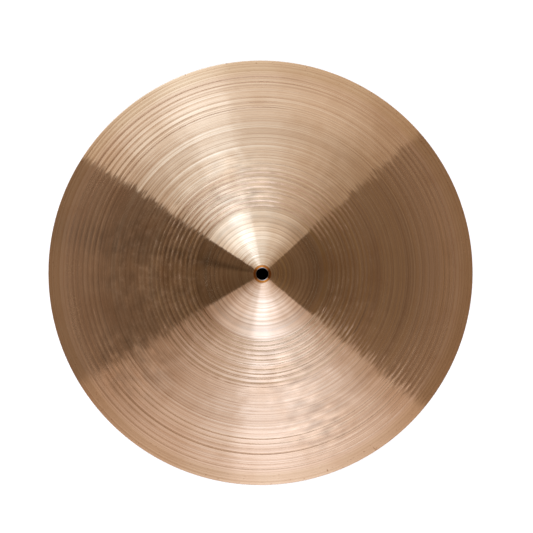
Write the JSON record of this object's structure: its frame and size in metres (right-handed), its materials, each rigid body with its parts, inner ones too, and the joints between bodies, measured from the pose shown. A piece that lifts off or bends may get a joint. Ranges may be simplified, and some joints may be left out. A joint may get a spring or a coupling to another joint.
{
  "type": "crash cymbal",
  "caption": "Thin round bronze cymbal with a raised bell, a centre hole for a stand's rod, a shallow bow and tonal grooves turned into the upper face.",
  "frame": {"origin": "on the plate's axis, in the plane of the lower rim, on which the plate lies bell up", "axes": "+Z along the axis, from the rim's plane out through the bell; the plate is round, so X and Y are any two directions across it"},
  "size_m": [0.4572, 0.4572, 0.0475],
  "materials": {
    "bell_bronze": "turned on a lathe, fine circular lines, natural lacquered bronze"
  },
  "bodies": {
    "root": {"cymbal_plate": "bell_bronze"}
  },
  "joints": []
}
